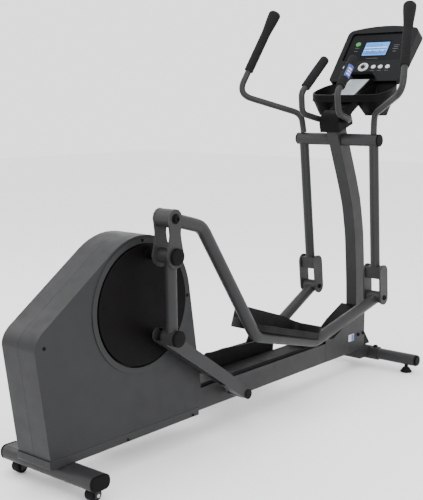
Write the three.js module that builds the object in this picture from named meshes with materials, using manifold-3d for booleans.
// Rear-drive elliptical trainer, built as separate pieces in millimetres with +Z up.
//
// Stations along the length are counted from the line where the rear wheels meet the floor:
// +X runs forward to the console and +Y to the user's left. The finished group is shifted so
// that the origin lies on the floor below the middle of its bounding box. The right-hand crank is
// drawn near the top of its turn and the left-hand crank half a turn later, so both sides are
// solved from the same linkage.

import * as THREE from 'three';
import { mergeVertices } from 'three/addons/utils/BufferGeometryUtils.js';
import Module from 'manifold-3d';

const wasm = await Module();
wasm.setup();

// ---------------------------------------------------------------- driving dimensions

const GAP = 0.3;                    // between pieces that touch
const RUN = 0.4;                    // running clearance round a shaft, on the radius

// linkage
const CRANK_RADIUS = 170;
const CRANK = { x: 318, z: CRANK_RADIUS + 358 };
const CRANK_ANGLE = 80;             // degrees, right-hand crank above the horizontal
const FORK_UP = 120;                // crank pin to lever pivot
const FORK_DOWN = 265;              // crank pin to rocker pivot
const ROCKER_PIVOT = { x: 785, z: 133 };
const ROCKER_LENGTH = 525;
const LEVER_LENGTH = 1360;
const ARM_PIVOT = { x: 1578, z: 1020 };
const ARM_LENGTH = 661;

// cross positions, counted outwards from the middle
const SHROUD_HALF = 77;
const DISC_OUT = SHROUD_HALF + 5;
const ROCKER_IN = 107;
const ROCKER_OUT = 145;
const ROCKER_END = 146;
const FORK_IN = 127;
const FORK_OUT = 197;
const FORK_PLATE = 7;
const FORK_TUBE_Y = 171;
const ARM_Y = 172;
const AXLE_END = 194;
const SLEEVE_END = 195;
const LEVER_Y = (FORK_IN + FORK_OUT) / 2;

// pins and shafts
const ROCKER_SHAFT_R = 11;
const AXLE_R = 12;
const CRANK_PIN_R = 14;
const LEVER_PIN_R = 10;

// tubes, outside radius and wall
const LEVER_R = 22.5;
const ARM_R = 20;
const SLEEVE_R = 25.5;
const HANDLE_R = 13;
const BAR_R = 12.7;
const FORK_TUBE_R = 20;
const TUBE_WALL = 2.5;

// bends of the lever, along it and above it, from its rear pivot
const LEVER_BENDS = [[168, 14], [575, -290], [964, -251], [LEVER_LENGTH - 2, -9]];
const LEVER_BEND = 68;
const PEDAL = { heel: 520, toe: 965, inner: 67, outer: 203, floor: -243, base: -254, wall: 7 };

// user arms, from the arm pivot; the grips are given as shares of the last straight run
const HANDLE_CORNERS = [[0, 172, 26.3], [-3, 178, 106], [-160, 393, 208], [36, 318.5, 523]];
const HANDLE_BEND = 55;
const HANDLE_GRIP = { from: 0.29, to: 1.04, r: 19.5, bulb: 27 };
const YOKE = { top: 141 - ARM_LENGTH, half: 42, plate: 7, r: 30 };
const BAR_CORNERS = [[1572, 69, 1350], [1430, 87, 1212], [1440, 88, 1128], [1558, 74, 1101]];
const BAR_BEND = 38;
const BAR_GRIP = { from: 0.17, to: 1.04, r: 19.5 };

// base frame
const BEAM = { x0: -35, x1: 1442, half: 48, z0: 90, z1: 170, wall: 3 };
const TRACK = { height: 13, half: 42 };
const REAR_BAR = { x: -5, z: 66.2, width: 75, height: 47, half: 205 };
const FRONT_BAR = { x: 1817, z: 58, r: 25, half: 272 };
const BAR_CAP = 10;
const FOOT = { y: 226, r: 25, stem: 8 };
const WHEEL = { x: 0, y: 172, r: 21, width: 34, pin: 4 };
const BASE = { front: 1752, plateTop: 278, slopeFoot: 1505, half: 48 };
const BASE_COVER = 12;

// column, outside width across and depth along
const COLUMN = { half: 26, depth: 72, wall: 3 };
const COLUMN_LINE = [[1749, 93], [1749, 313], [1729, 570], [1713, 664], [1684, 778], [1594, 992],
  [1546, 1096]];
const NECK = { x: 1561, z: 1084, r: 58, half: 46, foot: 1050, arm: 30 };

// shroud
const DISC_R = CRANK_RADIUS + 27;     // leaves room for the crank pin's boss
const BEZEL_R = DISC_R + 24;
const SHROUD_ARC = BEZEL_R + 8;
const SHROUD_WALL = 3;
const SHROUD_BASE = 119.3;          // foot of the two halves, top of the skirt
const SHROUD_FRONT = CRANK.x + SHROUD_ARC + 46;
const RECESS = 16;

// drive
const CRANK_SHAFT_R = 15;
const CRANK_PULLEY_R = 100;
const FLYWHEEL = { x: 60, z: 300, r: 120, half: 15, shaft: 8, pulley: 28 };
const BELT_Y = SHROUD_HALF - 34;
const BELT_WIDTH = 14;
const BELT_THICK = 4;
const BRACKET_Y = SHROUD_HALF - 20;
const BRACKET_PLATE = 4;

// console
const FACE_FOOT = { x: 1762, z: 1264 };
const FACE_LEAN = 37.15;            // degrees of the face from upright, top forward
const FACE = { half: 174, height: 290, thick: 58, corner: 30, crown: 16 };
const FACE_POCKET = { half: 150, low: 112, high: 268, depth: 14 };
const DISPLAY = { half: 60, low: 147, high: 221, across: -6 };
const KEY_LINE = 76;
const BUTTON_R = 11;
const KEY_TRAVEL = 2;

// tray below the console
const TRAY = { front: 1612, back: 1782, half: 184, edge: 1203.6, slope: 0.3, rim: 30, lip: 8 };
const TRAY_RIDGE = 56;
const GUIDE_HALF = 47;
const WELL = { x: 1690, y: 114, halfX: 42, halfY: 38, corner: 26, bottom: 1119, wall: 4 };

// ---------------------------------------------------------------- solids

const DEG = Math.PI / 180;

function toSolid(geometry) {
  const bare = geometry.clone();
  for (const name of Object.keys(bare.attributes)) {
    if (name !== 'position') bare.deleteAttribute(name);
  }
  const merged = mergeVertices(bare, 1e-3);
  return new wasm.Manifold(new wasm.Mesh({
    numProp: 3,
    vertProperties: Float32Array.from(merged.attributes.position.array),
    triVerts: Uint32Array.from(merged.index.array),
  }));
}

function toGeometry(solid) {
  const mesh = solid.getMesh();
  const geometry = new THREE.BufferGeometry();
  geometry.setAttribute('position', new THREE.BufferAttribute(mesh.vertProperties, 3));
  geometry.setIndex(new THREE.BufferAttribute(mesh.triVerts, 1));
  geometry.computeVertexNormals();
  return geometry;
}

function join(...solids) {
  return solids.reduce((whole, next) => whole.add(next));
}

function cut(solid, ...tools) {
  return tools.reduce((whole, tool) => whole.subtract(tool), solid);
}

function block(x0, x1, y0, y1, z0, z1) {
  const geometry = new THREE.BoxGeometry(x1 - x0, Math.abs(y1 - y0), z1 - z0);
  geometry.translate((x0 + x1) / 2, (y0 + y1) / 2, (z0 + z1) / 2);
  return toSolid(geometry);
}

// Round bar across the machine, between two distances from the middle plane.
function barY(x, z, r, y0, y1, sides = 16, rEnd = r) {
  const [rTop, rFoot] = y1 > y0 ? [rEnd, r] : [r, rEnd];
  const geometry = new THREE.CylinderGeometry(rTop, rFoot, Math.abs(y1 - y0), sides);
  geometry.translate(x, (y0 + y1) / 2, z);
  return toSolid(geometry);
}

function barZ(x, y, r, z0, z1, sides = 16, rTop = r) {
  const geometry = new THREE.CylinderGeometry(rTop, r, z1 - z0, sides);
  geometry.rotateX(Math.PI / 2);
  geometry.translate(x, y, (z0 + z1) / 2);
  return toSolid(geometry);
}

// Side-view outline given a thickness across the machine.
function slab(shape, y0, y1, curveSegments = 4) {
  const depth = Math.abs(y1 - y0);
  const geometry = new THREE.ExtrudeGeometry(shape, { depth, bevelEnabled: false, curveSegments });
  geometry.rotateX(Math.PI / 2);
  geometry.translate(0, Math.max(y0, y1), 0);
  return toSolid(geometry);
}

// Plan outline given a height.
function pad(shape, z0, z1, curveSegments = 4) {
  const options = { depth: z1 - z0, bevelEnabled: false, curveSegments };
  const geometry = new THREE.ExtrudeGeometry(shape, options);
  geometry.translate(0, 0, z0);
  return toSolid(geometry);
}

function outline(points) {
  return new THREE.Shape(points.map(([x, z]) => new THREE.Vector2(x, z)));
}

function roundOutline(halfWidth, halfHeight, corner, cx = 0, cy = 0) {
  const shape = new THREE.Shape();
  const w = halfWidth - corner;
  const h = halfHeight - corner;
  shape.absarc(cx + w, cy + h, corner, 0, Math.PI / 2);
  shape.absarc(cx - w, cy + h, corner, Math.PI / 2, Math.PI);
  shape.absarc(cx - w, cy - h, corner, Math.PI, Math.PI * 1.5);
  shape.absarc(cx + w, cy - h, corner, Math.PI * 1.5, Math.PI * 2);
  return shape;
}

// Straight runs joined by arcs, with one step for each run and a few for each arc.
class BentPath extends THREE.Curve {
  constructor(corners, bendRadius, arcSteps = 3) {
    super();
    const at = corners.map((p) => new THREE.Vector3(...p));
    this.stops = [at[0]];
    for (let i = 1; i < at.length - 1; i += 1) {
      const back = at[i - 1].clone().sub(at[i]);
      const ahead = at[i + 1].clone().sub(at[i]);
      const half = back.angleTo(ahead) / 2;
      const room = Math.min(back.length(), ahead.length()) * 0.49;
      const reach = Math.min(bendRadius / Math.tan(half), room);
      const start = at[i].clone().addScaledVector(back.normalize(), reach);
      const end = at[i].clone().addScaledVector(ahead.normalize(), reach);
      const bend = new THREE.QuadraticBezierCurve3(start, at[i], end);
      this.stops.push(...bend.getPoints(arcSteps));
    }
    this.stops.push(at[at.length - 1]);
    this.steps = this.stops.length - 1;
  }

  getPoint(t) {
    const place = t * this.steps;
    const low = Math.min(Math.floor(place), this.steps - 1);
    return this.stops[low].clone().lerp(this.stops[low + 1], place - low);
  }

  getPointAt(u) {
    return this.getPoint(u);
  }

  getSpacedPoints() {
    return this.stops.map((p) => p.clone());
  }

  getTangentAt(u) {
    const i = Math.round(u * this.steps);
    const before = this.stops[Math.max(i - 1, 0)];
    const after = this.stops[Math.min(i + 1, this.steps)];
    return after.clone().sub(before).normalize();
  }
}

// Round bar along a bent path; a hole radius makes it a tube that is open at both ends.
function bentBar(path, r, sides = 12, hole = 0) {
  const shape = new THREE.Shape().absarc(0, 0, r, 0, Math.PI * 2);
  if (hole > 0) shape.holes.push(new THREE.Path().absarc(0, 0, hole, 0, Math.PI * 2, true));
  const options = { steps: path.steps, extrudePath: path, curveSegments: sides / 2 };
  return toSolid(new THREE.ExtrudeGeometry(shape, options));
}

// Turned piece along a line between two points, from (distance, radius) pairs.
function turned(from, to, profile, sides = 16) {
  const a = new THREE.Vector3(...from);
  const axis = new THREE.Vector3(...to).sub(a);
  const geometry = new THREE.LatheGeometry(profile.map(([d, r]) => new THREE.Vector2(r, d)), sides);
  const up = new THREE.Vector3(0, 1, 0);
  geometry.applyQuaternion(new THREE.Quaternion().setFromUnitVectors(up, axis.normalize()));
  geometry.translate(a.x, a.y, a.z);
  return toSolid(geometry);
}

// ---------------------------------------------------------------- materials and scene

const FINISH = {
  frame: { color: 0x4a4a4b, roughness: 0.42, metalness: 0.35 },
  shroud: { color: 0x545456, roughness: 0.5, metalness: 0.1 },
  disc: { color: 0x1d1b1c, roughness: 0.55, metalness: 0.05 },
  black: { color: 0x1a1a1b, roughness: 0.6, metalness: 0.0 },
  foam: { color: 0x242425, roughness: 0.9, metalness: 0.0 },
  cover: { color: 0x38383a, roughness: 0.55, metalness: 0.05 },
  steel: { color: 0x8d8f92, roughness: 0.35, metalness: 0.9 },
  iron: { color: 0x55565a, roughness: 0.6, metalness: 0.8 },
  belt: { color: 0x151515, roughness: 0.8, metalness: 0.0 },
  housing: { color: 0x48494c, roughness: 0.45, metalness: 0.1 },
  silver: { color: 0xb9bbbe, roughness: 0.3, metalness: 0.6 },
  green: { color: 0x2f9a3f, roughness: 0.4, metalness: 0.0 },
  screen: { color: 0x9cc9ea, roughness: 0.15, metalness: 0.0 },
  label: { color: 0xc4c8cb, roughness: 0.5, metalness: 0.0 },
};

const machine = new THREE.Group();

function place(parent, name, solid, finish) {
  const mesh = new THREE.Mesh(toGeometry(solid), new THREE.MeshStandardMaterial(FINISH[finish]));
  mesh.name = name;
  parent.add(mesh);
  return mesh;
}

// A group whose origin is a pivot; turned up-right in the side view by an angle in degrees.
function pivotGroup(at, angle = 0) {
  const group = new THREE.Group();
  group.position.set(at.x, 0, at.z);
  group.rotation.y = -angle * DEG;
  machine.add(group);
  return group;
}

const SIDES = [{ tag: 'r', s: -1 }, { tag: 'l', s: 1 }];

// ---------------------------------------------------------------- linkage pose

function circlesMeet(p, rp, q, rq) {
  const length = Math.hypot(q.x - p.x, q.z - p.z);
  const along = (rp * rp - rq * rq + length * length) / (2 * length);
  const off = Math.sqrt(rp * rp - along * along);
  const ux = (q.x - p.x) / length;
  const uz = (q.z - p.z) / length;
  return { x: p.x + along * ux + off * uz, z: p.z + along * uz - off * ux };
}

function angleOf(from, to) {
  return Math.atan2(to.z - from.z, to.x - from.x) / DEG;
}

function linkagePose(crankAngle) {
  const a = crankAngle * DEG;
  const pin = { x: CRANK.x + CRANK_RADIUS * Math.cos(a), z: CRANK.z + CRANK_RADIUS * Math.sin(a) };
  const low = circlesMeet(pin, FORK_DOWN, ROCKER_PIVOT, ROCKER_LENGTH);
  const share = FORK_UP / FORK_DOWN;
  const top = { x: pin.x + (pin.x - low.x) * share, z: pin.z + (pin.z - low.z) * share };
  const front = circlesMeet(top, LEVER_LENGTH, ARM_PIVOT, ARM_LENGTH);
  return { pin, low, top, front };
}

// ---------------------------------------------------------------- base frame

function columnOutline(grow) {
  const line = new THREE.SplineCurve(COLUMN_LINE.map(([x, z]) => new THREE.Vector2(x, z)));
  const steps = 14;
  const front = [];
  const rear = [];
  for (let i = 0; i <= steps; i += 1) {
    const at = line.getPoint(i / steps);
    const along = line.getTangent(i / steps);
    const reach = COLUMN.depth / 2 + grow;
    if (i === 0) at.addScaledVector(along, -grow);
    if (i === steps) at.addScaledVector(along, grow);
    front.push([at.x + along.y * reach, at.y - along.x * reach]);
    rear.push([at.x - along.y * reach, at.y + along.x * reach]);
  }
  return outline([...front, ...rear.reverse()]);
}

function makeBeam() {
  const { x0, x1, half, z0, z1, wall } = BEAM;
  const tube = cut(
    block(x0, x1, -half, half, z0, z1),
    block(x0 - 1, x1 + 1, -half + wall, half - wall, z0 + wall, z1 - wall),
    barY(ROCKER_PIVOT.x, ROCKER_PIVOT.z, ROCKER_SHAFT_R + GAP, -half - 1, half + 1),
  );
  place(machine, 'main_beam', tube, 'frame');
  const strip = block(SHROUD_FRONT + 20, x1, -TRACK.half, TRACK.half, z1 + GAP, z1 + TRACK.height);
  place(machine, 'beam_track_cover', strip, 'black');
}

function makeFrontBase() {
  const { front, plateTop, slopeFoot, half } = BASE;
  const x0 = BEAM.x1 + GAP;
  const columnBack = COLUMN_LINE[1][0] - COLUMN.depth / 2;
  const columnFront = COLUMN_LINE[1][0] + COLUMN.depth / 2;
  const top = BEAM.z1 + TRACK.height;
  const body = slab(outline([[x0, BEAM.z0], [front - 12, BEAM.z0], [front, BEAM.z0 + 12],
    [front, plateTop], [columnBack, plateTop], [slopeFoot, top],
    [x0, top]]), -half, half);
  const inside = slab(outline([[x0 - 1, BEAM.z0 + 4], [front - 14, BEAM.z0 + 4],
    [front - 4, BEAM.z0 + 14], [front - 4, plateTop - 5], [columnBack + 1, plateTop - 5],
    [slopeFoot + 1, top - 5], [x0 - 1, top - 5]]), 4 - half, half - 4);
  const web = block(front - 30, FRONT_BAR.x - 10, -half, half, FRONT_BAR.z - 12, BEAM.z0 + 2);
  const saddle = barY(FRONT_BAR.x, FRONT_BAR.z, FRONT_BAR.r + 5, -88, 88, 20);
  const socket = slab(columnOutline(GAP), -COLUMN.half - GAP, COLUMN.half + GAP);
  const barHole = barY(FRONT_BAR.x, FRONT_BAR.z, FRONT_BAR.r + GAP, -400, 400, 20);
  place(machine, 'front_base', cut(join(body, web, saddle), inside, socket, barHole), 'frame');

  const rise = BASE_COVER + GAP;
  const cover = slab(outline([[slopeFoot - 25, top + GAP], [slopeFoot, top + GAP],
    [columnBack - 1, plateTop + GAP], [columnBack - 1, plateTop + rise], [1590, 237],
    [slopeFoot + 25, top + 17]]), -50, 50);
  place(machine, 'base_top_cover', cover, 'cover');

  const noseX = columnFront - 1;
  const noseZ = BEAM.z0 + 2 + GAP;
  const nose = slab(outline([[noseX, noseZ], [1845, noseZ], [noseX, 170]]), -22, 22);
  const clear = slab(columnOutline(GAP), -30, 30);
  place(machine, 'front_gusset_cover', cut(nose, clear), 'black');
}

function ovalOutline(shrink = 0) {
  const { x, z, width, height } = REAR_BAR;
  return roundOutline(width / 2 - shrink, height / 2 - shrink, 20 - shrink, x, z);
}

function makeStabilizers() {
  const wheelHalf = WHEEL.width / 2;
  let rear = slab(ovalOutline(), -REAR_BAR.half, REAR_BAR.half, 3);
  rear = cut(rear, slab(ovalOutline(TUBE_WALL), -REAR_BAR.half - 1, REAR_BAR.half + 1, 3));
  for (const { s } of SIDES) {
    const y = s * WHEEL.y;
    for (const side of [-1, 1]) {
      const inner = y + side * (wheelHalf + 1);
      const lug = block(WHEEL.x - 10, WHEEL.x + 10, Math.min(inner, inner + side * 4),
        Math.max(inner, inner + side * 4), WHEEL.r - 8, REAR_BAR.z - REAR_BAR.height / 2 + 2);
      rear = rear.add(lug);
    }
    rear = rear.add(barY(WHEEL.x, WHEEL.r, WHEEL.pin, y - wheelHalf - 4, y + wheelHalf + 4, 12));
  }
  place(machine, 'rear_stabilizer', rear, 'frame');

  const frontBar = cut(
    barY(FRONT_BAR.x, FRONT_BAR.z, FRONT_BAR.r, -FRONT_BAR.half, FRONT_BAR.half, 20),
    barY(FRONT_BAR.x, FRONT_BAR.z, FRONT_BAR.r - TUBE_WALL, -FRONT_BAR.half - 1, FRONT_BAR.half + 1, 20),
  );
  place(machine, 'front_stabilizer', frontBar, 'frame');

  for (const { tag, s } of SIDES) {
    const rearCap = slab(ovalOutline(-0.5), s * (REAR_BAR.half + GAP), s * (REAR_BAR.half + BAR_CAP), 3);
    place(machine, `rear_stabilizer_cap_${tag}`, rearCap, 'black');
    const y0 = s * (FRONT_BAR.half + GAP);
    const y1 = s * (FRONT_BAR.half + BAR_CAP);
    const frontCap = barY(FRONT_BAR.x, FRONT_BAR.z, FRONT_BAR.r + 0.5, y0, y1, 28, FRONT_BAR.r - 3);
    place(machine, `front_stabilizer_cap_${tag}`, frontCap, 'black');

    const wheel = cut(
      barY(WHEEL.x, WHEEL.r, WHEEL.r, s * WHEEL.y - wheelHalf, s * WHEEL.y + wheelHalf, 20),
      barY(WHEEL.x, WHEEL.r, WHEEL.pin + RUN, s * WHEEL.y - 30, s * WHEEL.y + 30, 12),
    );
    place(machine, `rear_wheel_${tag}`, wheel, 'black');

    const stemTop = FRONT_BAR.z - FRONT_BAR.r - GAP;
    const foot = join(
      barZ(FRONT_BAR.x, s * FOOT.y, FOOT.r, 0, 6, 20),
      barZ(FRONT_BAR.x, s * FOOT.y, FOOT.r - 2, 6, 20, 24, 14),
      barZ(FRONT_BAR.x, s * FOOT.y, FOOT.stem, 20, stemTop, 16),
    );
    place(machine, `front_foot_${tag}`, foot, 'black');
  }
}

// ---------------------------------------------------------------- column and handlebar

function handlebarPath() {
  const left = BAR_CORNERS.map(([x, y, z]) => [x, y, z]);
  const right = BAR_CORNERS.map(([x, y, z]) => [x, -y, z]).reverse();
  return new BentPath([...left, ...right], BAR_BEND);
}

function makeColumn() {
  const { half, wall } = COLUMN;
  const foot = { x: COLUMN_LINE[0][0], z: COLUMN_LINE[0][1] };
  const axleHole = barY(ARM_PIVOT.x, ARM_PIVOT.z, AXLE_R + GAP, -100, 100);
  const barHole = bentBar(handlebarPath(), BAR_R + GAP);
  const column = cut(
    slab(columnOutline(0), -half, half),
    slab(columnOutline(-wall), wall - half, half - wall),
    block(foot.x - 20, foot.x + 20, -10, 10, foot.z - 5, foot.z + 20),
    axleHole,
    barHole,
  );
  place(machine, 'mono_column', column, 'frame');
  place(machine, 'cross_axle', barY(ARM_PIVOT.x, ARM_PIVOT.z, AXLE_R, -AXLE_END, AXLE_END), 'steel');

  const bar = bentBar(handlebarPath(), BAR_R);
  place(machine, 'fixed_handlebar', bar, 'frame');

  const drum = new THREE.Shape();
  drum.moveTo(NECK.x + NECK.r + 3, NECK.foot);
  drum.absarc(NECK.x, NECK.z, NECK.r, 0, Math.PI);
  drum.lineTo(NECK.x - NECK.r + 10, NECK.foot);
  const arm = outline([[1530, 1110], [1560, 1148], [1654, 1179.7], [1716, 1200], [1706, 1170],
    [1640, 1132], [1610, 1100]]);
  const neckBody = join(
    slab(drum, -NECK.half, NECK.half, 7),
    slab(arm, -NECK.arm, NECK.arm),
  );
  const sleeveRoom = barY(ARM_PIVOT.x, ARM_PIVOT.z, SLEEVE_R + 2.5, -100, 100, 20);
  const neck = cut(neckBody, slab(columnOutline(GAP), -half - GAP, half + GAP), barHole, sleeveRoom);
  place(machine, 'neck_cover', neck, 'cover');

  for (const { tag, s } of SIDES) {
    const flip = ([x, y, z]) => [x, s * y, z];
    const { from, to, r } = BAR_GRIP;
    const [end, bend] = BAR_CORNERS;
    const along = (share) => bend.map((v, i) => v + (end[i] - v) * share);
    const hole = BAR_R + RUN;
    const length = Math.hypot(...end.map((v, i) => v - bend[i])) * (to - from);
    const grip = turned(flip(along(from)), flip(along(to)), [[0, hole], [0, r - 2], [3, r],
      [length - 8, r], [length, r - 7], [length, 0], [length - 5, 0], [length - 5, hole], [0, hole]]);
    place(machine, `fixed_grip_${tag}`, grip, 'foam');
  }
}

// ---------------------------------------------------------------- user arms

function makeUserArm(tag, s, pose) {
  const angle = angleOf(ARM_PIVOT, pose.front) + 90;
  const arm = pivotGroup(ARM_PIVOT, angle);
  const y = s * ARM_Y;
  const { top: yokeTop, half: yokeHalf, plate, r: yokeR } = YOKE;

  const cheek = new THREE.Shape();
  cheek.absarc(0, -ARM_LENGTH, yokeR, Math.PI, Math.PI * 2);
  cheek.absarc(0, yokeTop - yokeR, yokeR, 0, Math.PI);
  const cheekRight = slab(cheek, y - yokeHalf, y - yokeHalf + plate);
  const cheekLeft = slab(cheek, y + yokeHalf - plate, y + yokeHalf);
  const bridge = block(-20, 20, y - yokeHalf + 1, y + yokeHalf - 1, yokeTop - 58, yokeTop - 8);
  const tube = barZ(0, y, ARM_R, yokeTop - 20, -10, 20);
  const sleeve = barY(0, 0, SLEEVE_R, s * (COLUMN.half + 4), s * SLEEVE_END, 20);
  const tubeBore = barZ(0, y, ARM_R - TUBE_WALL, yokeTop - 60, 0, 20);
  const sleeveBore = barY(0, 0, AXLE_R + RUN, s * 20, s * 210, 20);
  const steel = cut(join(sleeve, tube, cheekRight, cheekLeft, bridge), tubeBore, sleeveBore);
  place(arm, `user_arm_${tag}`, steel, 'frame');

  const cap = barY(0, 0, SLEEVE_R, s * (SLEEVE_END + GAP), s * (SLEEVE_END + 7), 20);
  place(arm, `arm_end_cap_${tag}`, cap, 'black');

  const flip = ([x, across, z]) => [x, s * across, z];
  const path = new BentPath(HANDLE_CORNERS.map(flip), HANDLE_BEND);
  const foot = barY(0, 0, SLEEVE_R + GAP, s * 100, s * 250, 20);
  const tubeUp = cut(bentBar(path, HANDLE_R), foot);
  place(arm, `handle_tube_${tag}`, tubeUp, 'frame');

  const { from, to, r, bulb } = HANDLE_GRIP;
  const [bend, end] = HANDLE_CORNERS.slice(-2);
  const along = (share) => bend.map((v, i) => v + (end[i] - v) * share);
  const length = Math.hypot(...end.map((v, i) => v - bend[i])) * (to - from);
  const hole = HANDLE_R + RUN;
  const profile = [[0, hole], [0, r - 2], [3, r], [length * 0.72, r], [length * 0.9, bulb - 1],
    [length - 10, bulb], [length - 2, bulb - 9], [length + 2, 0], [length - 12, 0],
    [length - 12, hole], [0, hole]];
  const grip = turned(flip(along(from)), flip(along(to)), profile);
  place(arm, `handle_grip_${tag}`, grip, 'foam');
}

// ---------------------------------------------------------------- crank, fork, rocker, lever

function makeCrank(tag, s, pose) {
  const disc = barY(CRANK.x, CRANK.z, DISC_R, s * (DISC_OUT - 12), s * DISC_OUT, 48);
  const boss = barY(pose.pin.x, pose.pin.z, 20, s * (DISC_OUT - 4), s * (FORK_IN - 1), 20);
  const pin = barY(pose.pin.x, pose.pin.z, CRANK_PIN_R, s * DISC_OUT, s * FORK_OUT, 20);
  const holeEnd = DISC_OUT - 4;
  const shaftHole = barY(CRANK.x, CRANK.z, CRANK_SHAFT_R + GAP, s * (holeEnd - 18), s * holeEnd, 20);
  place(machine, `crank_disc_${tag}`, cut(join(disc, boss, pin), shaftHole), 'disc');
}

function forkPlate() {
  const shape = new THREE.Shape();
  shape.absarc(0, FORK_UP, 31, 0, Math.PI);
  shape.quadraticCurveTo(-24, FORK_UP - 34, -24, FORK_UP - 52);
  shape.quadraticCurveTo(-27, 42, -39, 4);
  shape.absarc(0, 0, 39, Math.PI * 1.03, Math.PI * 1.97);
  shape.quadraticCurveTo(27, 42, 24, FORK_UP - 52);
  shape.quadraticCurveTo(24, FORK_UP - 34, 31, FORK_UP);
  return shape;
}

function makeFork(tag, s, pose) {
  const fork = pivotGroup(pose.pin, angleOf(pose.low, pose.top) - 90);
  const tubeY = s * FORK_TUBE_Y;
  const steel = join(
    slab(forkPlate(), s * FORK_OUT, s * (FORK_OUT - FORK_PLATE), 3),
    slab(forkPlate(), s * FORK_IN, s * (FORK_IN + FORK_PLATE), 3),
    barY(0, FORK_UP, LEVER_PIN_R, s * (FORK_IN + 1), s * (FORK_OUT - 1), 20),
    barY(0, 0, 24, s * (FORK_IN + 1), s * (FORK_OUT - 1), 20),
    barZ(0, tubeY, FORK_TUBE_R, -FORK_DOWN + 5, -10, 20),
    barY(0, -FORK_DOWN, 27, s * (ROCKER_OUT + 6), s * FORK_OUT, 20),
  );
  const bore = barY(0, 0, CRANK_PIN_R + RUN, s * 100, s * 250, 20);
  const tubeBore = barZ(0, tubeY, FORK_TUBE_R - TUBE_WALL, -FORK_DOWN + 8, -5, 20);
  const lowBore = barY(0, -FORK_DOWN, 17, s * 100, s * (FORK_OUT - 5), 20);
  place(fork, `coupler_fork_${tag}`, cut(steel, bore, tubeBore, lowBore), 'frame');
}

function makeRocker(tag, s, pose) {
  // Drawn along +x from the fixed pivot to the fork's lower hub.
  const rocker = pivotGroup(ROCKER_PIVOT, angleOf(ROCKER_PIVOT, pose.low));
  const half = (ROCKER_OUT - ROCKER_IN) / 2;
  const y = s * (ROCKER_IN + half);
  const bar = new THREE.Shape();
  bar.moveTo(0, -14);
  bar.lineTo(60, -17);
  bar.lineTo(130, -24);
  bar.lineTo(ROCKER_LENGTH, -24);
  bar.absarc(ROCKER_LENGTH, 0, 24, -Math.PI / 2, Math.PI / 2);
  bar.lineTo(120, 20);
  bar.quadraticCurveTo(60, 24, 0, 16);
  const hub = barY(0, 0, 18, s * 64, s * ROCKER_END, 20);
  const hole = barY(0, 0, ROCKER_SHAFT_R + RUN, s * 50, s * 200, 20);
  const shell = slab(bar, y - half, y + half);
  const hollow = block(130, ROCKER_LENGTH + 40, y - half + 3, y + half - 3, -21, 21);
  place(rocker, `rocker_arm_${tag}`, join(cut(shell, hollow), hub).subtract(hole), 'frame');
}

function makeRockerShaft() {
  const shaft = barY(ROCKER_PIVOT.x, ROCKER_PIVOT.z, ROCKER_SHAFT_R, -ROCKER_END, ROCKER_END);
  place(machine, 'rocker_shaft', shaft, 'steel');
}

// The lever is drawn along +x from its rear pivot to its front pivot.
function leverPath(s) {
  const [first, ...rest] = LEVER_BENDS;
  const ahead = rest.map(([x, z]) => [x, s * ARM_Y, z]);
  return new BentPath([[0, s * LEVER_Y, 0], [first[0], s * LEVER_Y, first[1]], ...ahead], LEVER_BEND);
}

function makeLever(tag, s, pose) {
  const lever = pivotGroup(pose.top, angleOf(pose.top, pose.front));
  const path = leverPath(s);
  const room = FORK_PLATE + 0.6;
  const rearHub = barY(0, 0, 30, s * (FORK_IN + room), s * (FORK_OUT - room), 20);
  const frontHub = barY(LEVER_LENGTH, 0, 25, s * (ARM_Y - 33.5), s * (ARM_Y + 33.5), 20);
  const steel = cut(
    join(bentBar(path, LEVER_R, 16), rearHub, frontHub),
    bentBar(path, LEVER_R - TUBE_WALL, 10),
    barY(0, 0, LEVER_PIN_R + RUN, s * 100, s * 230, 20),
    barY(LEVER_LENGTH, 0, 14, s * 100, s * 260, 20),
  );
  place(lever, `pedal_lever_${tag}`, steel, 'frame');
  place(lever, `foot_pedal_${tag}`, makePedal(s), 'black');
}

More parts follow.
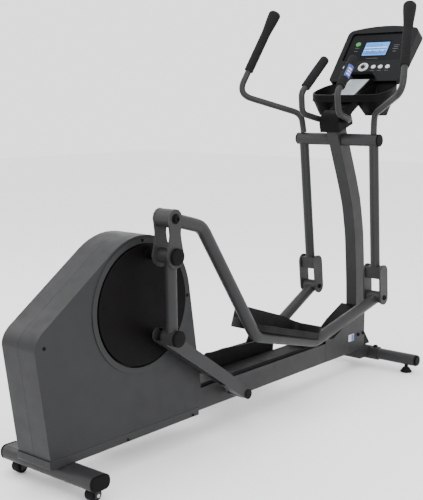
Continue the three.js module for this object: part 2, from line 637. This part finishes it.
function makePedal(s) {
  const { heel, toe, inner, outer, floor, base, wall } = PEDAL;
  const plan = new THREE.Shape();
  const tilt = 0.075;               // the tray rises a little towards the toe in the lever's own frame
  const raise = (x) => (x - heel) * tilt - 20;
  plan.moveTo(heel + 70, inner);
  plan.lineTo(toe - 30, inner);
  plan.quadraticCurveTo(toe, inner, toe, inner + 30);
  plan.lineTo(toe, outer - 30);
  plan.quadraticCurveTo(toe, outer, toe - 30, outer);
  plan.lineTo(heel + 120, outer);
  plan.quadraticCurveTo(heel, outer - 10, heel, (inner + outer) / 2);
  plan.quadraticCurveTo(heel, inner, heel + 70, inner);
  const under = (x) => base + raise(x);
  const lip = (x) => floor + raise(x) + 13;
  const innerSide = outline([[heel, under(heel)], [toe, under(toe)], [toe, -190], [860, -182],
    [740, -184], [620, -187], [heel + 50, -194], [heel, -201]]);
  const toeSide = outline([[toe - 60, under(toe - 60)], [toe, under(toe)], [toe, -190], [toe - 16, -191],
    [toe - 28, lip(toe - 28)], [toe - 60, lip(toe - 60)]]);
  const lowSide = outline([[heel, under(heel)], [toe - 50, under(toe - 50)], [toe - 50, lip(toe - 50)],
    [heel + 50, lip(heel + 50)], [heel, lip(heel) + 14]]);
  const walls = join(slab(innerSide, inner - 1, inner + wall + 14), slab(toeSide, inner, outer + 1),
    slab(lowSide, inner, outer + 1));
  const tray = pad(plan, -300, -140);
  const hollow = outline([[heel + 10, floor + raise(heel)], [toe - wall, floor + raise(toe)],
    [toe - wall, 0], [heel + 10, 0]]);
  const planIn = new THREE.Shape();
  planIn.moveTo(heel + 78, inner + wall);
  planIn.lineTo(toe - 34, inner + wall);
  planIn.quadraticCurveTo(toe - wall, inner + wall, toe - wall, inner + 34);
  planIn.lineTo(toe - wall, outer - 34);
  planIn.quadraticCurveTo(toe - wall, outer - wall, toe - 34, outer - wall);
  planIn.lineTo(heel + 124, outer - wall);
  planIn.quadraticCurveTo(heel + wall, outer - wall - 10, heel + wall, (inner + outer) / 2);
  planIn.quadraticCurveTo(heel + wall, inner + wall, heel + 78, inner + wall);
  let pedal = tray.intersect(walls);
  pedal = pedal.subtract(pad(planIn, -300, 0).intersect(slab(hollow, inner, outer)));
  pedal = pedal.subtract(bentBar(leverPath(1), LEVER_R + GAP + 0.2, 16));
  return s > 0 ? pedal : pedal.mirror([0, 1, 0]);
}

// ---------------------------------------------------------------- shroud

function shroudOutline(shrink = 0) {
  const arc = SHROUD_ARC - shrink;
  const slope = 35.3 * DEG;         // rear roof above the horizontal
  const backLean = 8.05 * DEG;
  const frontLean = 9.2 * DEG;
  const shape = new THREE.Shape();
  const backX = (z) => -80 + shrink - (z - 130) * Math.tan(backLean);
  const roof = { x: CRANK.x - arc * Math.sin(slope), z: CRANK.z + arc * Math.cos(slope) };
  const kneeZ = 505 - shrink * 0.6;
  const knee = { x: backX(kneeZ), z: kneeZ };
  const run = roof.x - knee.x;
  const kneeTop = roof.z - run * Math.tan(slope);
  const soften = 38;
  const frontTop = { x: CRANK.x + arc * Math.cos(frontLean), z: CRANK.z + arc * Math.sin(frontLean) };
  shape.moveTo(backX(SHROUD_BASE), SHROUD_BASE);
  shape.lineTo(backX(kneeTop - soften), kneeTop - soften);
  shape.quadraticCurveTo(knee.x, kneeTop - 2, knee.x + soften, kneeTop + soften * Math.tan(slope));
  shape.lineTo(roof.x, roof.z);
  shape.absarc(CRANK.x, CRANK.z, arc, Math.PI / 2 + slope, frontLean, true);
  const drop = frontTop.z - 195;
  shape.lineTo(frontTop.x + drop * Math.tan(frontLean), 195);
  shape.lineTo(SHROUD_FRONT - shrink, SHROUD_BASE);
  return shape;
}

function makeShroud(tag, s) {
  const seam = s * GAP / 2;
  const skin = slab(shroudOutline(), seam, s * SHROUD_HALF, 9);
  const lip = cut(
    barY(CRANK.x, CRANK.z, BEZEL_R, s * (SHROUD_HALF - 2), s * (SHROUD_HALF + 3), 48),
  ).intersect(slab(shroudOutline(), 0, s * 90, 9));
  const hollow = slab(shroudOutline(SHROUD_WALL), s * -1, s * (SHROUD_HALF - SHROUD_WALL), 9)
    .add(block(-60, SHROUD_FRONT - 6, s > 0 ? -1 : SHROUD_WALL - SHROUD_HALF,
      s > 0 ? SHROUD_HALF - SHROUD_WALL : 1, SHROUD_BASE - 5, SHROUD_BASE + 5));
  const floorY = SHROUD_HALF - RECESS;
  const dish = barY(CRANK.x, CRANK.z, DISC_R + 9, s * (floorY - SHROUD_WALL), s * (SHROUD_HALF - 1), 48);
  const recess = barY(CRANK.x, CRANK.z, DISC_R + 6, s * floorY, s * (SHROUD_HALF + 9), 48);
  const shaftHole = barY(CRANK.x, CRANK.z, CRANK_SHAFT_R + 5, s * 10, s * 90, 20);
  const beamDoor = block(SHROUD_FRONT - 60, SHROUD_FRONT + 30, -BEAM.half - 1, BEAM.half + 1,
    SHROUD_BASE - 5, BEAM.z1 + 2);
  const half = cut(join(cut(join(skin, lip), hollow), dish), recess, shaftHole, beamDoor);
  place(machine, `shroud_${tag === 'r' ? 'right' : 'left'}`, half, 'shroud');
}

function makeSkirt() {
  const top = SHROUD_BASE - GAP;
  const rearX = -82;
  const outer = outline([[rearX, BEAM.z0 + 6], [rearX + 6, BEAM.z0], [SHROUD_FRONT, BEAM.z0],
    [SHROUD_FRONT, top], [rearX - 1, top]]);
  const inner = block(rearX + 4, SHROUD_FRONT - 4, 4 - SHROUD_HALF, SHROUD_HALF - 4, 60, 140);
  const doorHalf = BEAM.half + GAP;
  const beamDoor = block(SHROUD_FRONT - 20, SHROUD_FRONT + 20, -doorHalf, doorHalf, 60, 140);
  const skirt = cut(slab(outer, -SHROUD_HALF, SHROUD_HALF), inner, beamDoor);
  place(machine, 'shroud_skirt', skirt, 'shroud');
}

// ---------------------------------------------------------------- drive

function makeDrive() {
  const shaft = barY(CRANK.x, CRANK.z, CRANK_SHAFT_R, GAP + 4 - DISC_OUT, DISC_OUT - 4 - GAP);
  place(machine, 'crank_axle', shaft, 'steel');

  const beltIn = BELT_Y - BELT_WIDTH / 2;
  const beltOut = BELT_Y + BELT_WIDTH / 2;
  const pulley = cut(
    barY(CRANK.x, CRANK.z, CRANK_PULLEY_R, beltIn - 1, beltOut + 1, 40),
    barY(CRANK.x, CRANK.z, CRANK_SHAFT_R + GAP, 0, 100),
  );
  place(machine, 'crank_pulley', pulley, 'iron');

  const wheel = join(
    barY(FLYWHEEL.x, FLYWHEEL.z, FLYWHEEL.r, -FLYWHEEL.half - 10, FLYWHEEL.half - 10, 36),
    barY(FLYWHEEL.x, FLYWHEEL.z, FLYWHEEL.pulley, FLYWHEEL.half - 11, beltOut + 1, 20),
    barY(FLYWHEEL.x, FLYWHEEL.z, FLYWHEEL.shaft, -BRACKET_Y - 4, BRACKET_Y + 4, 16),
  );
  place(machine, 'flywheel', wheel, 'iron');

  const big = CRANK_PULLEY_R + 2 * GAP;
  const small = FLYWHEEL.pulley + 2 * GAP;
  const outerLoop = beltOutline(big + BELT_THICK, small + BELT_THICK);
  const belt = cut(slab(outerLoop, beltIn, beltOut, 12),
    slab(beltOutline(big, small), beltIn - 1, beltOut + 1, 12));
  place(machine, 'drive_belt', belt, 'belt');

  const legs = outline([[20, BEAM.z1 + GAP], [420, BEAM.z1 + GAP], [345, CRANK.z + 30],
    [291, CRANK.z + 30], [205, 330], [75, 335], [35, 320]]);
  const cheeks = [-1, 1].map((s) => slab(legs, s * BRACKET_Y, s * (BRACKET_Y - BRACKET_PLATE)));
  const foot = block(150, 420, -BRACKET_Y, BRACKET_Y, BEAM.z1 + GAP, BEAM.z1 + 4);
  const bracket = cut(
    join(...cheeks, foot),
    barY(CRANK.x, CRANK.z, CRANK_SHAFT_R + RUN, -100, 100),
    barY(FLYWHEEL.x, FLYWHEEL.z, FLYWHEEL.shaft + RUN, -100, 100, 16),
  );
  place(machine, 'drive_bracket', bracket, 'frame');
}

// Two circles joined by their outer tangents.
function beltOutline(rBig, rSmall) {
  const dx = FLYWHEEL.x - CRANK.x;
  const dz = FLYWHEEL.z - CRANK.z;
  const along = Math.atan2(dz, dx);
  const open = Math.acos((rBig - rSmall) / Math.hypot(dx, dz));
  const shape = new THREE.Shape();
  shape.absarc(CRANK.x, CRANK.z, rBig, along + open, along + Math.PI * 2 - open);
  shape.absarc(FLYWHEEL.x, FLYWHEEL.z, rSmall, along - open, along + open);
  return shape;
}

// ---------------------------------------------------------------- console

// Local frame of the face: x across to the user's left, y up the face, z out towards the user.
function faceGroup() {
  const group = new THREE.Group();
  group.position.set(FACE_FOOT.x, 0, FACE_FOOT.z);
  const up = new THREE.Vector3(Math.sin(FACE_LEAN * DEG), 0, Math.cos(FACE_LEAN * DEG));
  const across = new THREE.Vector3(0, -1, 0);
  const out = new THREE.Vector3().crossVectors(across, up);
  group.quaternion.setFromRotationMatrix(new THREE.Matrix4().makeBasis(across, up, out));
  machine.add(group);
  return group;
}

function facePlate(shape, out0, out1, segments = 3) {
  return pad(shape, out0, out1, segments);
}

function makeConsole() {
  const group = faceGroup();
  const { half, height, thick, corner, crown } = FACE;
  const shape = new THREE.Shape();
  shape.moveTo(-half + 18, 0);
  shape.lineTo(half - 18, 0);
  shape.quadraticCurveTo(half - 2, 0, half, 20);
  shape.lineTo(half, height - corner);
  shape.quadraticCurveTo(half, height - 4, half - corner, height);
  shape.quadraticCurveTo(0, height + crown * 2, -half + corner, height);
  shape.quadraticCurveTo(-half, height - 4, -half, height - corner);
  shape.lineTo(-half, 20);
  shape.quadraticCurveTo(-half + 2, 0, -half + 18, 0);
  const { low, high, depth } = FACE_POCKET;
  const pocketShape = roundOutline(FACE_POCKET.half, (high - low) / 2, 14, 0, (high + low) / 2);
  const keys = keyLayout();
  const backSlope = slab(outline([[-10, -26], [height + 40, -thick - 2], [height + 40, -thick - 60],
    [-10, -thick - 60]].map(facePoint)), -half - 10, half + 10);
  const skin = cut(facePlate(shape, -thick, 0, 6), toFace(backSlope));
  const room = roundOutline(half - 4, height / 2 - 50, 20, 0, height / 2 + 42);
  const inside = facePlate(room, 22 - thick, -depth - 4);
  const vent = block(-20, 20, 120, 128, -thick - 10, -depth - 6);
  const keyHoles = keys.filter((k) => k.y < low).map((k) => facePlate(keyShape(k, RUN), -12, 5, 8));
  const housing = cut(skin, facePlate(pocketShape, -depth, 10), ...keyHoles, inside, vent);
  place(group, 'console_housing', housing, 'housing');

  const middle = (high + low) / 2;
  const panelShape = roundOutline(FACE_POCKET.half - GAP, (high - low) / 2 - GAP, 14, 0, middle);
  const window = roundOutline(DISPLAY.half, (DISPLAY.high - DISPLAY.low) / 2, 4, DISPLAY.across,
    (DISPLAY.high + DISPLAY.low) / 2);
  const startHoles = keys.filter((k) => k.y > low).map((k) => facePlate(keyShape(k, RUN), -20, 5, 8));
  const panel = cut(
    facePlate(panelShape, GAP - depth, -depth + 7),
    facePlate(window, -30, 10),
    ...startHoles,
  );
  place(group, 'display_surround', panel, 'black');

  const lens = roundOutline(DISPLAY.half - GAP, (DISPLAY.high - DISPLAY.low) / 2 - GAP, 4,
    DISPLAY.across, (DISPLAY.high + DISPLAY.low) / 2);
  place(group, 'display_lens', facePlate(lens, GAP - depth, -depth + 6), 'screen');

  for (const key of keys) {
    const inPocket = key.y > low;
    const foot = inPocket ? GAP - depth + KEY_TRAVEL : -9;
    const top = inPocket ? -depth + 10 : 3;
    place(group, key.name, facePlate(keyShape(key, 0), foot, top, 8), key.finish);
  }

  const ledge = [[18, GAP], [14, 30], [24, 36], [27, 32], [20, 27], [24, GAP]];
  place(machine, 'reading_ledge', slab(outline(ledge.map(facePoint)), -55, 55), 'black');
}

// A solid of the machine's frame, seen from the face's own frame.
function toFace(solid) {
  const group = faceGroup();
  group.updateMatrix();
  machine.remove(group);
  return solid.transform(group.matrix.clone().invert().elements);
}

// Side-view point of the face, from its distance up the face and out towards the user.
function facePoint([up, out]) {
  const lean = FACE_LEAN * DEG;
  return [FACE_FOOT.x + up * Math.sin(lean) - out * Math.cos(lean),
    FACE_FOOT.z + up * Math.cos(lean) + out * Math.sin(lean)];
}

function keyLayout() {
  const row = [['control_ring', 25, 25], ['key_1', -26, BUTTON_R], ['key_2', -60, BUTTON_R],
    ['key_3', -95, BUTTON_R], ['key_4', 116, BUTTON_R]];
  const keys = row.map(([name, left, r]) => ({ name, x: -left, y: KEY_LINE, r, finish: 'silver' }));
  keys.push({ name: 'start_key', x: -103, y: 210, r: 13, finish: 'green' });
  return keys;
}

function keyShape(key, grow) {
  return new THREE.Shape().absellipse(key.x, key.y, key.r + grow, (key.r + grow) * 0.92, 0, Math.PI * 2);
}

// ---------------------------------------------------------------- tray

function trayTop(x) {
  return TRAY.edge + (x - TRAY.front) * TRAY.slope;
}

// Everything between two levels that follow the sloping top of the tray.
function trayLayer(above0, above1) {
  const x0 = TRAY.front - 20;
  const x1 = TRAY.back + 20;
  return slab(outline([[x0, trayTop(x0) + above0], [x1, trayTop(x1) + above0],
    [x1, trayTop(x1) + above1], [x0, trayTop(x0) + above1]]), -220, 220);
}

// One well: a mouth that follows the rim, drawn in to a smaller bottom.
function wellSolid(s, grow, above0, above1, bottom) {
  const near = s * (TRAY_RIDGE + TRAY.lip - grow);
  const far = s * (TRAY.half - TRAY.lip + grow);
  const front = TRAY.front + TRAY.lip - grow;
  const back = TRAY.back - TRAY.lip + grow;
  const mouth = new THREE.Shape();
  mouth.moveTo(front, near);
  mouth.lineTo(front, s * 121);
  mouth.quadraticCurveTo(front + 2, far, WELL.x, far);
  mouth.quadraticCurveTo(back - 12, far, back, s * 148);
  mouth.lineTo(back, near);
  const shrink = WELL.wall - grow;
  const foot = roundOutline(WELL.halfX - shrink, WELL.halfY - shrink, WELL.corner - shrink,
    WELL.x, s * WELL.y);
  return wasm.Manifold.hull([
    pad(mouth, 1100, 1400, 6).intersect(trayLayer(above0, above1)),
    pad(foot, bottom, bottom + 5, 4),
  ]);
}

function makeTray() {
  const { front, back, half, rim } = TRAY;
  const plan = new THREE.Shape();
  plan.moveTo(front, -121);
  plan.quadraticCurveTo(front + 2, -half, WELL.x, -half);
  plan.quadraticCurveTo(back - 16, -half + 2, back, -150);
  plan.lineTo(back, 150);
  plan.quadraticCurveTo(back - 16, half - 2, WELL.x, half);
  plan.quadraticCurveTo(front + 2, half, front, 121);
  const ridge = outline([[front + 6, 1180], [front + 6, 1204], [1744, 1272.5], [1776, 1258],
    [1776, 1220]]);
  let tray = join(
    pad(plan, 1100, 1300, 6).intersect(trayLayer(-rim, 0)),
    slab(ridge, -TRAY_RIDGE, TRAY_RIDGE),
  );
  for (const { s } of SIDES) {
    tray = tray.add(wellSolid(s, WELL.wall, -rim, -2, WELL.bottom));
  }
  for (const { s } of SIDES) {
    tray = tray.subtract(wellSolid(s, 0, -4, 80, WELL.bottom + WELL.wall));
  }
  const plateRoom = slab(outline([[front + 4, 1199.9], [1744, 1270.2], [1744, 1300],
    [front + 4, 1300]]), -GUIDE_HALF - 1, GUIDE_HALF + 1);
  const consoleRoom = slab(outline([[120, GAP], [-GAP, GAP], [-GAP, -FACE.thick * 3],
    [200, -FACE.thick * 3]].map(facePoint)), -220, 220);
  tray = cut(tray, plateRoom, consoleRoom);
  place(machine, 'console_tray', tray, 'cover');

  const plateLine = outline([[front + 5, 1200.8], [1742, 1269.4], [1741, 1271.2],
    [front + 4.5, 1202.6]]);
  place(machine, 'guide_plate', slab(plateLine, -GUIDE_HALF, GUIDE_HALF), 'label');
}

// ---------------------------------------------------------------- assembly

makeBeam();
makeFrontBase();
makeStabilizers();
makeColumn();
makeRockerShaft();
makeSkirt();
makeDrive();
for (const { tag, s } of SIDES) {
  const pose = linkagePose(s < 0 ? CRANK_ANGLE : CRANK_ANGLE + 180);
  makeShroud(tag, s);
  makeCrank(tag, s, pose);
  makeFork(tag, s, pose);
  makeRocker(tag, s, pose);
  makeLever(tag, s, pose);
  makeUserArm(tag, s, pose);
}
makeConsole();
makeTray();

const bounds = new THREE.Box3().setFromObject(machine);
machine.position.x = -(bounds.min.x + bounds.max.x) / 2;

export default machine;
